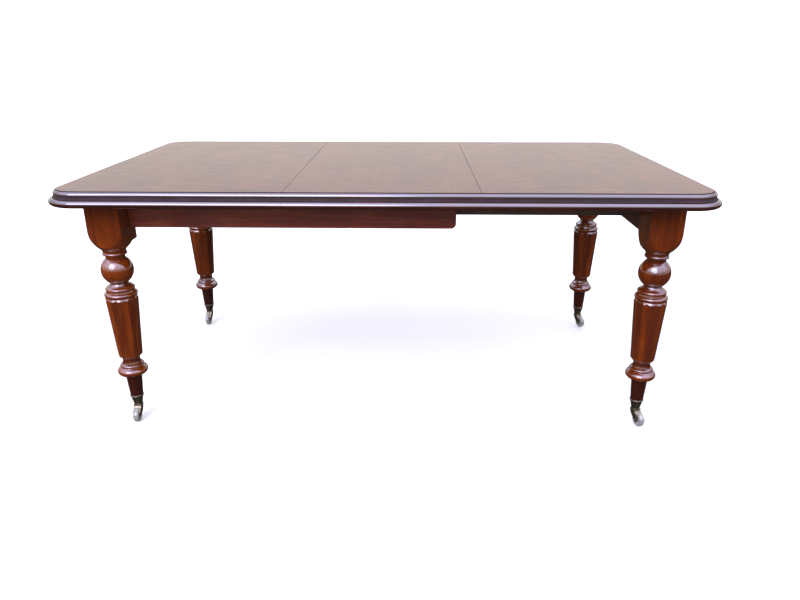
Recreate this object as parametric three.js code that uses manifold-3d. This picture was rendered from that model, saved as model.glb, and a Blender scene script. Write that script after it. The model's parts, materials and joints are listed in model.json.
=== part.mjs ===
// A wind-out extending dining table in mahogany, with one loose leaf in place.
//
// Millimetres, +Z up. The origin is on the floor under the middle of the table; +X runs along the table
// towards the end that winds out, and the front long side faces -Y. The left end is fixed to the two side
// aprons. The right end rides on two slides that run inside the aprons, and a long screw under the middle
// moves it.

import * as THREE from 'three';
import { mergeVertices } from 'three/addons/utils/BufferGeometryUtils.js';
import Module from 'manifold-3d';

const wasm = await Module();
wasm.setup();

// ---- driving dimensions ----

const HEIGHT = 740; // floor to the polished top
const LENGTH = 1806; // overall, with the leaf in
const WIDTH = 1040; // overall, across the mouldings
const LEAF = 520; // width of the loose leaf, which is also how far the table winds out
const GAP = 0.3; // between pieces that touch

const BOARD = 22.5; // thickness of the top boards
const CORNER = 90; // plan radius of the top's corners
const MOULDING = 60; // width of the moulding under the boards
const BULLNOSE = 10; // radius of the half-round edge of the moulding under the boards
const THUMB_INSET = 22.5; // from the outermost edge to the flat field of the top
const QUIRK = 2.4; // small upright step round the field

const LEG_INSET_X = 130; // end of the table to the legs' axes
const LEG_INSET_Y = 130; // side of the table to the legs' axes
const LEG_SQUARE = 94; // side of the square block at the top of a leg
const BLOCK_SQUARE_HEIGHT = 92.2; // from the frame's top to where the block's corners begin to round in
const POMMEL_DROP = 82; // height of the quarter ellipse that rounds them
const BALL_RADIUS = 45;
const BALL_DOWN = 226.2; // frame's top to the middle of the ball
const NECK = 25; // radius of the narrow necks
const TAPER_DOWN = 312.2; // frame's top to the top of the faceted taper
const TAPER_THICK = 46.5; // radius over the corners at the top of the taper
const TAPER_THIN = 34.8;
const COLLAR_UP = 85.4; // top of the castor cup to the middle of the collar
const TAPER_UP = 137.4; // top of the castor cup to the foot of the taper
const FOOT_RADIUS = 18.4; // where the foot meets its brass cup
const FOOT_REBATE = 1.6; // how far the foot steps in to enter the cup
const FOOT_END = 10.5; // radius of the foot's end, inside the cup
const FACETS = 12; // flats round the tapered part of a leg
const TURNING = 16; // sides that stand for a round turned part

const APRON = 28; // thickness of every apron
const APRON_SETBACK = 62; // leg face to apron face
const SIDE_APRON_DEEP = 105.2;
const END_APRON_DEEP = 115.2;
const APRON_END_RADIUS = 14; // rounded lower corner at each side apron's free end
const TENON = 25; // length of the tenons
const TENON_THICK = 10;
const TENON_HIGH = 40; // height of each tenon
const SIDE_TENON_DOWN = 12.7; // frame's top to the top of the side aprons' tenons
const TENON_APART = 12; // from the side aprons' tenons down to the end aprons', which would cross them
const FREE_END = 2; // between a side apron's free end and the right leg when the table is closed

const SLIDE = 28.4; // thickness of the slides
const SLIDE_DEEP = 72.2;
const SLIDE_CLEAR = 4; // slide's tail to the left end apron when closed
const GUIDE_ENGAGE = 7; // how far the guide strip reaches into the slide's groove
const GUIDE_HEIGHT = 12;
const GUIDE_START = 38; // from the left legs to the guide strips' ends
const GUIDE_DOWN = 43.2; // frame's top to the middle of the guide strip
const GUIDE_CLEAR = 1; // between the guide and the slide's groove, above, below and behind
const CROSS_RAIL = 28; // height of the rail that joins the aprons' free ends
const RAIL_WIDTH = 40; // of both cross rails, along the table
const CROSS_RAIL_SET = 14; // in from the aprons' free ends
const TAIL_RAIL_SPARE = 15; // from the screw's collar to the tail rail when the table is closed
const TAIL_RAIL_HEIGHT = 65;
const BLOCK = 50; // length of the corner blocks under the left end apron
const BLOCK_DEPTH = 38;

const SCREW_DOWN = 35.2; // frame's top to the screw's axis
const SCREW_RADIUS = 11;
const SCREW_SQUARE = 14; // across the squared end that takes the winding handle
const SCREW_SQUARE_LENGTH = 18;
const SCREW_PAST_NUT = 24;
const SCREW_CLEAR = 0.4; // round the screw in its nut and bearing
const COLLAR_RADIUS = 17;
const COLLAR_LENGTH = 8;
const PLATE = 6; // thickness of the bearing plate and nut flange
const PLATE_SIDE = 68;
const BEARING_RADIUS = 17;
const BEARING_LENGTH = 20; // of the bearing plate with its barrel
const ESCUTCHEON_RADIUS = 30;
const ESCUTCHEON = 3;
const NUT_RADIUS = 15.7;
const NUT_FLANGE_RADIUS = 26;
const NUT_PROUD = 4; // the nut's body past the tail rail's far face

const WHEEL_RADIUS = 21;
const WHEEL_WIDTH = 15;
const TRAIL = 20; // swivel axis to the wheel's axle
const WHEEL_SIDE_CLEAR = 0.7; // between the wheel and each cheek of the horn
const WHEEL_TOP_CLEAR = 4.5; // between the wheel and the horn's crown
const CHEEK = 3.3; // thickness of the horn's cheeks
const CROWN = 6.2; // thickness of the horn's crown
const HORN_BOSS = 11.5; // radius of the round boss on the crown
const EYE = 6.5; // radius of the cheeks' ends, round the pin
const CUP_SOLE = 5; // thickness of the cup's floor
const CUP_DEEP = 26.6; // depth of the cup's socket
const PIVOT = 4; // radius of the cup's swivel pin
const AXLE = 2.5; // radius of the wheel's pin
const AXLE_HEAD = 4.5;
// Which way each castor trails, in degrees from +X towards +Y.
const CASTOR_TURN = { front_left: -88, rear_left: -95, front_right: -68, rear_right: -62 };

// ---- sizes worked out from them ----

const SEAM = LEAF / 2;
const BOARD_UNDER = HEIGHT - BOARD;
const FRAME_TOP = BOARD_UNDER - GAP;
const SIDE_APRON_BOTTOM = FRAME_TOP - SIDE_APRON_DEEP;
const END_APRON_BOTTOM = FRAME_TOP - END_APRON_DEEP;
const SLIDE_BOTTOM = FRAME_TOP - SLIDE_DEEP;
const GUIDE_LEVEL = FRAME_TOP - GUIDE_DOWN;
const SCREW_LEVEL = FRAME_TOP - SCREW_DOWN;
const SIDE_TENON = [FRAME_TOP - SIDE_TENON_DOWN - TENON_HIGH, FRAME_TOP - SIDE_TENON_DOWN];
const END_TENON = SIDE_TENON.map((level) => level - TENON_HIGH - TENON_APART);
const HORN_CROWN = 2 * WHEEL_RADIUS + WHEEL_TOP_CLEAR; // under side of the crown
const HORN_TOP = HORN_CROWN + CROWN;
const HORN_SLOT = WHEEL_WIDTH + 2 * WHEEL_SIDE_CLEAR;
const HORN_WIDTH = HORN_SLOT + 2 * CHEEK;
const CUP_BOTTOM = HORN_TOP + GAP;
const CUP_FLOOR = CUP_BOTTOM + CUP_SOLE;
const CUP_TOP = CUP_FLOOR + CUP_DEEP;
const FOOT_BOTTOM = CUP_FLOOR + GAP;
const POMMEL_TOP = FRAME_TOP - BLOCK_SQUARE_HEIGHT;
const BALL_LEVEL = FRAME_TOP - BALL_DOWN;
const TAPER_TOP = FRAME_TOP - TAPER_DOWN;
const TAPER_BOTTOM = CUP_TOP + TAPER_UP;
const COLLAR_LEVEL = CUP_TOP + COLLAR_UP;
const LEG_X = LENGTH / 2 - LEG_INSET_X;
const LEG_Y = WIDTH / 2 - LEG_INSET_Y;
const HALF_LEG = LEG_SQUARE / 2;
const APRON_Y = LEG_Y + HALF_LEG - APRON_SETBACK - APRON / 2; // middle of a side apron
const APRON_X = LEG_X + HALF_LEG - APRON_SETBACK - APRON / 2; // middle of an end apron
const APRON_BACK_Y = APRON_Y - APRON / 2;
const APRON_BACK_X = APRON_X - APRON / 2;
const LEG_BACK_X = LEG_X - HALF_LEG;
const LEG_BACK_Y = LEG_Y - HALF_LEG;
const SIDE_APRON_END = LEG_BACK_X - LEAF - FREE_END;
const FRAME_INNER_Y = Math.min(LEG_BACK_Y, APRON_BACK_Y) - GAP;
const SLIDE_FACE = FRAME_INNER_Y; // outer face of a slide
const SLIDE_Y = SLIDE_FACE - SLIDE / 2;
const SLIDE_TAIL = LEAF + SLIDE_CLEAR - APRON_BACK_X;
const TAIL_RAIL_SET = BEARING_LENGTH + COLLAR_LENGTH + TAIL_RAIL_SPARE;
const TAIL_RAIL_X = SLIDE_TAIL + TAIL_RAIL_SET + RAIL_WIDTH / 2;
const SLIDE_INNER = SLIDE_FACE - SLIDE;

// ---- colours ----

const finishes = {
  top: { color: 0x8a4b2c, roughness: 0.22, metalness: 0 },
  frame: { color: 0x5a2b1a, roughness: 0.35, metalness: 0 },
  leg: { color: 0x7a3c1c, roughness: 0.28, metalness: 0 },
  inner: { color: 0x6e4a30, roughness: 0.7, metalness: 0 },
  brass: { color: 0x9c8350, roughness: 0.4, metalness: 1 },
  iron: { color: 0x55524e, roughness: 0.5, metalness: 1 },
  ceramic: { color: 0xe9e4d8, roughness: 0.15, metalness: 0 },
};

// ---- making and cutting solids ----

function toSolid(geometry) {
  const bare = geometry.clone();
  bare.deleteAttribute('normal');
  bare.deleteAttribute('uv');
  const merged = mergeVertices(bare, 1e-3);
  const points = merged.attributes.position.array;
  const corners = [];
  for (let i = 0; i < merged.index.count; i += 3) {
    const [a, b, c] = [0, 1, 2].map((k) => merged.index.getX(i + k));
    if (a !== b && b !== c && c !== a) corners.push(a, b, c);
  }
  if (volume(points, corners) < 0) corners.reverse();
  const mesh = new wasm.Mesh({ numProp: 3, vertProperties: points, triVerts: new Uint32Array(corners) });
  return new wasm.Manifold(mesh);
}

function volume(points, corners) {
  const [a, b, c] = [new THREE.Vector3(), new THREE.Vector3(), new THREE.Vector3()];
  let sum = 0;
  for (let i = 0; i < corners.length; i += 3) {
    a.fromArray(points, corners[i] * 3);
    b.fromArray(points, corners[i + 1] * 3);
    c.fromArray(points, corners[i + 2] * 3);
    sum += a.dot(b.cross(c)) / 6;
  }
  return sum;
}

function toGeometry(solid) {
  const mesh = solid.getMesh();
  const geometry = new THREE.BufferGeometry();
  geometry.setAttribute('position', new THREE.BufferAttribute(mesh.vertProperties, 3));
  geometry.setIndex(new THREE.BufferAttribute(mesh.triVerts, 1));
  geometry.computeVertexNormals();
  return geometry;
}

// A block between two levels on each axis.
function block(x0, x1, y0, y1, z0, z1) {
  const box = new THREE.BoxGeometry(x1 - x0, y1 - y0, z1 - z0);
  box.translate((x0 + x1) / 2, (y0 + y1) / 2, (z0 + z1) / 2);
  return toSolid(box);
}

// A solid turned about Z from [radius, level] points that start and end on the axis.
function turned(profile, sides = TURNING) {
  const points = profile.map(([r, z]) => new THREE.Vector2(r, z));
  return toSolid(new THREE.LatheGeometry(points, sides).rotateX(Math.PI / 2));
}

// A plate that stands in the XZ plane, centred on Y = 0.
function plate(shape, thick, arris = 0) {
  const bevel = { bevelEnabled: arris > 0, bevelSegments: 1, bevelSize: arris, bevelThickness: arris };
  const options = { depth: thick - 2 * arris, bevelOffset: -arris, curveSegments: 4, ...bevel };
  const geometry = new THREE.ExtrudeGeometry(shape, options);
  geometry.translate(0, 0, arris - thick / 2);
  return toSolid(geometry.rotateX(Math.PI / 2));
}

// A bar of constant YZ section that runs along X.
function bar(section, x0, x1) {
  const shape = new THREE.Shape(section.map(([y, z]) => new THREE.Vector2(y, z)));
  const geometry = new THREE.ExtrudeGeometry(shape, { depth: x1 - x0, bevelEnabled: false });
  geometry.rotateX(Math.PI / 2).rotateZ(Math.PI / 2);
  return toSolid(geometry.translate(x0, 0, 0));
}

// Points on an arc or ellipse, as [radius, level], with angles in degrees from +r towards +z.
function arc(r, z, radius, from, to, steps, rise = radius) {
  return Array.from({ length: steps + 1 }, (_, i) => {
    const angle = THREE.MathUtils.degToRad(from + ((to - from) * i) / steps);
    return [r + radius * Math.cos(angle), z + rise * Math.sin(angle)];
  });
}

// A solid lofted through level outlines that all have the same number of points, lowest first.
function loft(rings) {
  const count = rings[0].points.length;
  const position = rings.flatMap(({ points, level }) => points.flatMap((p) => [p.x, p.y, level]));
  const index = [];
  for (let k = 0; k + 1 < rings.length; k += 1) {
    for (let i = 0; i < count; i += 1) {
      const [a, b] = [k * count + i, k * count + ((i + 1) % count)];
      index.push(a, b, b + count, a, b + count, a + count);
    }
  }
  const last = (rings.length - 1) * count;
  for (const [a, b, c] of THREE.ShapeUtils.triangulateShape(rings[0].points, [])) {
    index.push(a, c, b, last + a, last + b, last + c);
  }
  const geometry = new THREE.BufferGeometry();
  geometry.setAttribute('position', new THREE.Float32BufferAttribute(position, 3));
  geometry.setIndex(index);
  return toSolid(geometry);
}

function piece(name, solid, finish) {
  const mesh = new THREE.Mesh(toGeometry(solid), new THREE.MeshStandardMaterial(finishes[finish]));
  mesh.name = name;
  return mesh;
}

function placed(mesh, x = 0, y = 0, z = 0, turn = 0) {
  mesh.position.set(x, y, z);
  mesh.rotation.z = turn;
  return mesh;
}

// ---- top: three boards with a thumb-moulded edge, on a bullnose moulding ----

// How far in each level of a board's edge stands from the outermost edge: cove, ovolo, quirk, field.
const COVE_TOP = HEIGHT - BOARD / 2;
const boardEdge = [
  [BULLNOSE + 1, BOARD_UNDER],
  [BULLNOSE + 1, BOARD_UNDER + 1.2],
  [BULLNOSE + 3.4, BOARD_UNDER + 3.2],
  [BULLNOSE + 4.6, COVE_TOP - 2.6],
  [BULLNOSE + 4.6, COVE_TOP],
  ...arc(THUMB_INSET, COVE_TOP + 0.4, BULLNOSE + 4 - THUMB_INSET, 0, 78, 4, HEIGHT - QUIRK - COVE_TOP),
  [THUMB_INSET, HEIGHT - QUIRK],
  [THUMB_INSET + 0.4, HEIGHT],
];

const mouldingEdge = arc(BULLNOSE, FRAME_TOP - BULLNOSE, -BULLNOSE, 90, -90, 6);

// Outline of an end section, from the seam round the two corners, at an inset from the table's edge.
function endOutline(inset) {
  const [x, y] = [LENGTH / 2 - CORNER, WIDTH / 2 - CORNER];
  const corner = (sign, from) =>
    arc(x, sign * y, CORNER - inset, from, from + 90, 8).map(([px, py]) => new THREE.Vector2(px, py));
  const seam = SEAM + GAP / 2;
  return [
    new THREE.Vector2(seam, inset - WIDTH / 2),
    ...corner(-1, -90),
    ...corner(1, 0),
    new THREE.Vector2(seam, WIDTH / 2 - inset),
  ];
}

function leafOutline(inset) {
  const [x, y] = [SEAM - GAP / 2, WIDTH / 2 - inset];
  return [[-x, -y], [x, -y], [x, y], [-x, y]].map(([px, py]) => new THREE.Vector2(px, py));
}

function board(outline) {
  return loft(boardEdge.map(([inset, level]) => ({ points: outline(inset), level })));
}

// The half moulding on the front of an end section, mitred through the middle of the corner.
function frontMoulding() {
  const [x, y] = [LENGTH / 2 - CORNER, CORNER - WIDTH / 2];
  const [innerX, innerY] = [LENGTH / 2 - MOULDING, MOULDING - WIDTH / 2];
  const mitre = GAP * Math.SQRT1_2;
  const outline = (inset) => {
    const round = arc(x - mitre, y, CORNER - inset, -90, -45, 4);
    const inner = [[innerX - mitre, innerY], [SEAM + GAP / 2, innerY]];
    const points = [[SEAM + GAP / 2, inset - WIDTH / 2], ...round, ...inner];
    return points.map(([px, py]) => new THREE.Vector2(px, py));
  };
  return loft(mouldingEdge.map(([inset, level]) => ({ points: outline(inset), level })));
}

function endMoulding() {
  const [x, y] = [LENGTH / 2 - CORNER, WIDTH / 2 - CORNER];
  const [innerX, innerY] = [LENGTH / 2 - MOULDING, WIDTH / 2 - MOULDING];
  const mitre = GAP * Math.SQRT1_2;
  const outline = (inset) => {
    const near = arc(x, mitre - y, CORNER - inset, -45, 0, 4);
    const far = arc(x, y - mitre, CORNER - inset, 0, 45, 4);
    const points = [...near, ...far, [innerX, innerY - mitre], [innerX, mitre - innerY]];
    return points.map(([px, py]) => new THREE.Vector2(px, py));
  };
  return loft(mouldingEdge.map(([inset, level]) => ({ points: outline(inset), level })));
}

function leafMoulding() {
  const [x, y] = [SEAM - GAP / 2, MOULDING - WIDTH / 2];
  const outline = (inset) => {
    const points = [[-x, inset - WIDTH / 2], [x, inset - WIDTH / 2], [x, y], [-x, y]];
    return points.map(([px, py]) => new THREE.Vector2(px, py));
  };
  return loft(mouldingEdge.map(([inset, level]) => ({ points: outline(inset), level })));
}

// Half a turn carries the right end's front moulding to the left end's rear.
function endSection(side, front, rear) {
  const group = new THREE.Group();
  const rearHalf = frontMoulding().mirror([0, 1, 0]);
  group.add(
    piece(`${side}_top`, board(endOutline), 'top'),
    piece(`${side}_end_moulding`, endMoulding(), 'top'),
    piece(`${side}_${front}_moulding`, frontMoulding(), 'top'),
    piece(`${side}_${rear}_moulding`, rearHalf, 'top'),
  );
  return group;
}

function leaf() {
  const group = new THREE.Group();
  group.add(
    piece('centre_leaf', board(leafOutline), 'top'),
    piece('leaf_front_moulding', leafMoulding(), 'top'),
    placed(piece('leaf_rear_moulding', leafMoulding(), 'top'), 0, 0, 0, Math.PI),
  );
  return group;
}

// ---- legs: square block, ball, rings, faceted taper, collar and foot, from one piece ----

function legTurning() {
  const [foot, ball, rings] = [CUP_TOP + GAP, BALL_LEVEL, TAPER_TOP];
  const ballNeck = 42; // between the ball's middle and the narrowest of the necks above and below it
  return turned([
    [0, FOOT_BOTTOM],
    [FOOT_END, FOOT_BOTTOM],
    [FOOT_RADIUS - FOOT_REBATE, foot],
    [FOOT_RADIUS, foot],
    [FOOT_RADIUS + 2.9, foot + 34],
    [FOOT_RADIUS + 4.6, foot + 67],
    ...arc(26, COLLAR_LEVEL, 17.5, -80, 62, 5, 14),
    ...arc(29, COLLAR_LEVEL + 18, 5.2, -50, 70, 2),
    [NECK + 0.5, COLLAR_LEVEL + 27],
    [NECK - 0.5, COLLAR_LEVEL + 37],
    [NECK + 3, TAPER_BOTTOM - 6],
    [NECK + 3, TAPER_TOP],
    [43, rings + 5.5],
    ...arc(40, rings + 13, 6.5, -60, 60, 3),
    [38.6, rings + 23.4],
    ...arc(35.5, rings + 30.5, 5.5, -50, 70, 3),
    [NECK + 5, rings + 39],
    [NECK + 0.6, ball - 40],
    ...arc(0, ball, BALL_RADIUS, -56, 53, 6),
    [NECK + 2.5, ball + ballNeck],
    ...arc(29.5, ball + 50, 4.5, -70, 70, 2),
    [33, ball + 59],
    [33, ball + 69],
    [0, ball + 69],
  ]);
}

function legTaper() {
  const overlap = 4;
  const turnIn = 9;
  return turned([
    [0, TAPER_BOTTOM - turnIn],
    [TAPER_THIN - 7, TAPER_BOTTOM - turnIn],
    [TAPER_THIN, TAPER_BOTTOM],
    [TAPER_THICK, TAPER_TOP],
    [TAPER_THICK - 2.5, TAPER_TOP + overlap],
    [0, TAPER_TOP + overlap],
  ], FACETS).rotate([0, 0, 180 / FACETS]);
}

function legBlock() {
  const reach = HALF_LEG * Math.SQRT2;
  const bottom = BALL_LEVEL + 61;
  const rounding = arc(0, POMMEL_TOP, reach, -58, 0, 5, POMMEL_DROP);
  const pommel = turned([
    [0, bottom],
    [33, bottom],
    ...rounding,
    [reach + 1, POMMEL_TOP],
    [reach + 1, FRAME_TOP],
    [0, FRAME_TOP],
  ], 24);
  return pommel.intersect(block(-HALF_LEG, HALF_LEG, -HALF_LEG, HALF_LEG, bottom, FRAME_TOP));
}

const wholeLeg = legTurning().add(legTaper()).add(legBlock());

// A slot for a tenon, in the leg's own frame; along is 'x' where the tenon enters along X.
function mortise(along, sideX, sideY, [low, high]) {
  const half = TENON_THICK / 2 + GAP;
  const span = (side) => [side * (HALF_LEG - TENON - GAP), side * (HALF_LEG + 1)].sort((a, b) => a - b);
  const across = (side, middle) => [side * middle - half, side * middle + half];
  const [x, y] = along === 'x' ?
    [span(sideX), across(sideY, LEG_Y - APRON_Y)] :
    [across(sideX, LEG_X - APRON_X), span(sideY)];
  return block(...x, ...y, low - GAP, high + GAP);
}

function leg(name, signX, signY) {
  let solid = wholeLeg.subtract(mortise('y', -signX, -signY, END_TENON));
  if (signX < 0) solid = solid.subtract(mortise('x', -signX, -signY, SIDE_TENON));
  return placed(piece(`${name}_leg`, solid, 'leg'), signX * LEG_X, signY * LEG_Y);
}

// ---- frame: aprons, slides, guides and cross rails ----

function sideApron(name, signY) {
  const [left, right, low, high] = [-LEG_BACK_X + GAP, SIDE_APRON_END, SIDE_APRON_BOTTOM, FRAME_TOP];
  const outline = new THREE.Shape();
  outline.moveTo(left, low);
  outline.lineTo(right - APRON_END_RADIUS, low);
  outline.absarc(right - APRON_END_RADIUS, low + APRON_END_RADIUS, APRON_END_RADIUS, -Math.PI / 2, 0, false);
  outline.lineTo(right, high);
  outline.lineTo(left, high);
  const tenon = block(left - TENON, left + 5, -TENON_THICK / 2, TENON_THICK / 2, ...SIDE_TENON);
  const solid = plate(outline, APRON, 1.5).add(tenon);
  return placed(piece(`${name}_apron`, solid, 'frame'), 0, signY * APRON_Y);
}

// The end aprons stand between the legs, with a tenon at each end. Built along X, then turned to run along Y.
function endApronBlank() {
  const reach = FRAME_INNER_Y;
  const outline = new THREE.Shape();
  outline.moveTo(-reach, END_APRON_BOTTOM);
  outline.lineTo(reach, END_APRON_BOTTOM);
  outline.lineTo(reach, FRAME_TOP);
  outline.lineTo(-reach, FRAME_TOP);
  const tenons = block(-reach - TENON, reach + TENON, -TENON_THICK / 2, TENON_THICK / 2, ...END_TENON);
  return plate(outline, APRON, 1.5).add(tenons);
}

function leftEndApron() {
  const hole = turned([[0, -APRON], [SCREW_RADIUS + 3, -APRON], [SCREW_RADIUS + 3, APRON], [0, APRON]]);
  const solid = endApronBlank().subtract(hole.rotate([90, 0, 0]).translate([0, 0, SCREW_LEVEL]));
  return placed(piece('left_end_apron', solid, 'frame'), -APRON_X, 0, 0, Math.PI / 2);
}

const slideTenonTop = FRAME_TOP - 15;
const slideTenonLow = SLIDE_BOTTOM + 12;

function rightEndApron() {
  const half = TENON_THICK / 2 + GAP;
  let solid = endApronBlank();
  for (const y of [-SLIDE_Y, SLIDE_Y]) {
    const slot = block(y - half, y + half, APRON / 2 - TENON_THICK * 2 - GAP, APRON, slideTenonLow - GAP,
      slideTenonTop + GAP);
    solid = solid.subtract(slot);
  }
  return placed(piece('right_end_apron', solid, 'frame'), APRON_X, 0, 0, Math.PI / 2);
}

// A slide has a groove along its outer face for the guide strip, and a tenon into the right end apron.
function slide(name, signY) {
  const [outer, inner] = [SLIDE / 2, -SLIDE / 2];
  const [low, high] = [SLIDE_BOTTOM, FRAME_TOP - 0.5];
  const floor = outer - GUIDE_ENGAGE - GUIDE_CLEAR;
  const halfGroove = GUIDE_HEIGHT / 2 + GUIDE_CLEAR;
  const [under, over] = [GUIDE_LEVEL - halfGroove, GUIDE_LEVEL + halfGroove];
  const section = [[inner, low], [outer, low], [outer, under], [floor, under], [floor, over], [outer, over],
    [outer, high], [inner, high]];
  const mirrored = section.map(([y, z]) => [signY * y, z]);
  const tenon = block(APRON_BACK_X - 5, APRON_BACK_X + TENON_THICK * 2, -TENON_THICK / 2, TENON_THICK / 2,
    slideTenonLow, slideTenonTop);
  const solid = bar(mirrored, SLIDE_TAIL, APRON_BACK_X - GAP).add(tenon);
  return placed(piece(`${name}_slide`, solid, 'inner'), 0, signY * SLIDE_Y);
}

function guide(name, signY) {
  const [inner, outer] = [SLIDE_FACE - GUIDE_ENGAGE, APRON_BACK_Y - GAP];
  const half = (outer - inner) / 2;
  const solid = block(GUIDE_START - LEG_BACK_X, SIDE_APRON_END - 2, -half, half,
    GUIDE_LEVEL - GUIDE_HEIGHT / 2, GUIDE_LEVEL + GUIDE_HEIGHT / 2);
  return placed(piece(`${name}_guide`, solid, 'inner'), 0, signY * (inner + half));
}

function crossRail() {
  const reach = APRON_BACK_Y - GAP;
  const right = SIDE_APRON_END - CROSS_RAIL_SET;
  const top = SLIDE_BOTTOM - 2;
  const solid = block(right - RAIL_WIDTH, right, -reach, reach, top - CROSS_RAIL, top);
  return piece('apron_cross_rail', solid, 'inner');
}

function tailRail() {
  const reach = SLIDE_INNER - GAP;
  const half = RAIL_WIDTH / 2;
  const [low, high] = [SCREW_LEVEL - TAIL_RAIL_HEIGHT / 2, SCREW_LEVEL + TAIL_RAIL_HEIGHT / 2];
  const bore = NUT_RADIUS + GAP;
  const hole = turned([[0, -RAIL_WIDTH], [bore, -RAIL_WIDTH], [bore, RAIL_WIDTH], [0, RAIL_WIDTH]]);
  const solid = block(-half, half, -reach, reach, low, high)
    .subtract(hole.rotate([0, 90, 0]).translate([0, 0, SCREW_LEVEL]));
  return placed(piece('slide_tail_rail', solid, 'inner'), TAIL_RAIL_X);
}

// Glue blocks in the angle of the left legs and the end apron above them.
function legCornerBlock(name, signY) {
  const [low, high] = [END_APRON_BOTTOM - BLOCK_DEPTH - GAP, END_APRON_BOTTOM - GAP];
  const right = 6 - APRON_X;
  const solid = block(right - BLOCK, right, -BLOCK_DEPTH / 2, BLOCK_DEPTH / 2, low, high);
  const y = LEG_BACK_Y - GAP - BLOCK_DEPTH / 2;
  return placed(piece(`${name}_left_corner_block`, solid, 'frame'), 0, signY * y);
}

// Three-cornered glue blocks where the slides meet the right end apron.
function slideCornerBlock(name, signY) {
  const [x, y] = [APRON_BACK_X - GAP, SLIDE_INNER - GAP];
  const corner = [[x, y], [x - BLOCK_DEPTH, y], [x, y - BLOCK_DEPTH]].map(([px, py]) => [px, signY * py]);
  if (signY < 0) corner.reverse();
  const points = corner.map(([px, py]) => new THREE.Vector2(px, py));
  const levels = [SLIDE_BOTTOM, slideTenonTop];
  return piece(`${name}_slide_corner_block`, loft(levels.map((level) => ({ points, level }))), 'inner');
}

// ---- screw, nut and bearing under the middle ----

// Turned pieces that lie along X at the screw's level; profile levels run along X.
function onScrewLine(solid) {
  return solid.rotate([0, 90, 0]).translate([0, 0, SCREW_LEVEL]);
}

function screw() {
  const bearingEnd = -APRON_BACK_X + GAP + BEARING_LENGTH;
  const outerEnd = -APRON_X - APRON / 2 - GAP - ESCUTCHEON - GAP - COLLAR_LENGTH - GAP;
  const inner = TAIL_RAIL_X + RAIL_WIDTH / 2 + SCREW_PAST_NUT;
  const collar = bearingEnd + GAP;
  const shaft = turned([
    [0, outerEnd],
    [SCREW_RADIUS, outerEnd],
    [SCREW_RADIUS, collar],
    [COLLAR_RADIUS, collar],
    [COLLAR_RADIUS, collar + COLLAR_LENGTH],
    [SCREW_RADIUS, collar + COLLAR_LENGTH],
    [SCREW_RADIUS, inner - 3],
    [SCREW_RADIUS - 3, inner],
    [0, inner],
  ]);
  const half = SCREW_SQUARE / 2;
  const square = block(-half, half, -half, half, outerEnd - SCREW_SQUARE_LENGTH, outerEnd + 2);
  return piece('winding_screw', onScrewLine(shaft.add(square)), 'iron');
}

function ring(inner, outer, from, to) {
  const shell = [[inner, from], [outer, from], [outer, to], [inner, to], [inner, from]];
  return turned(shell, TURNING);
}

function screwCollar() {
  const start = -APRON_X - APRON / 2 - GAP - ESCUTCHEON - GAP;
  const solid = ring(SCREW_RADIUS + GAP, COLLAR_RADIUS, start - COLLAR_LENGTH, start);
  return piece('outer_collar', onScrewLine(solid), 'iron');
}

function escutcheon() {
  const face = -APRON_X - APRON / 2 - GAP;
  const solid = ring(SCREW_RADIUS + SCREW_CLEAR, ESCUTCHEON_RADIUS, face - ESCUTCHEON, face);
  return piece('screw_escutcheon', onScrewLine(solid), 'brass');
}

function bearingPlate() {
  const face = -APRON_BACK_X + GAP;
  const half = PLATE_SIDE / 2;
  const barrel = ring(SCREW_RADIUS + SCREW_CLEAR, BEARING_RADIUS, face, face + BEARING_LENGTH);
  const bore = turned([[0, face - 1], [SCREW_RADIUS + SCREW_CLEAR, face - 1],
    [SCREW_RADIUS + SCREW_CLEAR, face + PLATE + 1], [0, face + PLATE + 1]]);
  const flat = block(-half, half, -half, half, face, face + PLATE).subtract(bore);
  return piece('screw_bearing', onScrewLine(flat.add(barrel)), 'iron');
}

function nut() {
  const [left, right] = [TAIL_RAIL_X - RAIL_WIDTH / 2 - NUT_PROUD, TAIL_RAIL_X + RAIL_WIDTH / 2 + GAP];
  const bore = SCREW_RADIUS + SCREW_CLEAR;
  const solid = turned([[bore, left], [NUT_RADIUS, left], [NUT_RADIUS, right], [NUT_FLANGE_RADIUS, right],
    [NUT_FLANGE_RADIUS, right + PLATE], [bore, right + PLATE], [bore, left]]);
  return piece('screw_nut', onScrewLine(solid), 'brass');
}

// ---- castors: socket cup, swivelling horn, axle pin and glazed wheel ----

function cup() {
  const [outer, inner] = [FOOT_RADIUS + 0.4, FOOT_RADIUS - FOOT_REBATE + GAP];
  const head = HORN_CROWN - GAP;
  return turned([
    [0, head - 2.6],
    [PIVOT + 1.2, head - 2.6],
    [PIVOT + 2, head - 1],
    [PIVOT + 2, head],
    [PIVOT, head],
    [PIVOT, CUP_BOTTOM],
    [FOOT_END + 0.6, CUP_BOTTOM],
    [FOOT_END + 2, CUP_BOTTOM + 1.6],
    [outer, CUP_TOP - 4.8],
    [outer + 1.4, CUP_TOP - 4],
    [outer + 1.4, CUP_TOP - 0.6],
    [outer + 0.4, CUP_TOP],
    [inner, CUP_TOP],
    [FOOT_END + GAP, CUP_FLOOR],
    [0, CUP_FLOOR],
  ]);
}

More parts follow.
